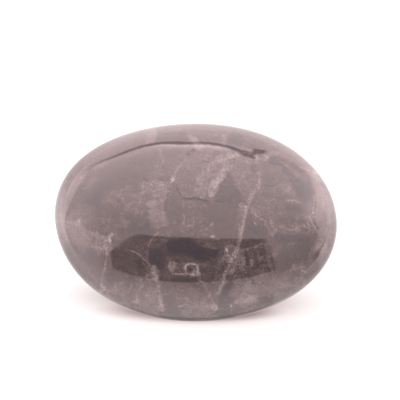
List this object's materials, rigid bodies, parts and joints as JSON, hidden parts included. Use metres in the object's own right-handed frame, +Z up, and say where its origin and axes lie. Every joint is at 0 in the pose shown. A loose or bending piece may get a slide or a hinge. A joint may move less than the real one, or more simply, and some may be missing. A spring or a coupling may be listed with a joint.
{
  "type": "palm stone",
  "caption": "Flattened oval palm stone of cloudy mauve-grey quartz, polished all over, to hold in the hand or lay on a surface.",
  "frame": {"origin": "under the middle of the stone, on the surface it lies on, at the bottom centre of its box", "axes": "+X along the stone's length, +Y across its width, +Z up through its thickness"},
  "size_m": [0.068, 0.0486, 0.0258],
  "materials": {
    "quartz": "polished, cloudy mauve grey with pale healed cracks"
  },
  "bodies": {
    "root": {"palm_stone": "quartz"}
  },
  "joints": []
}
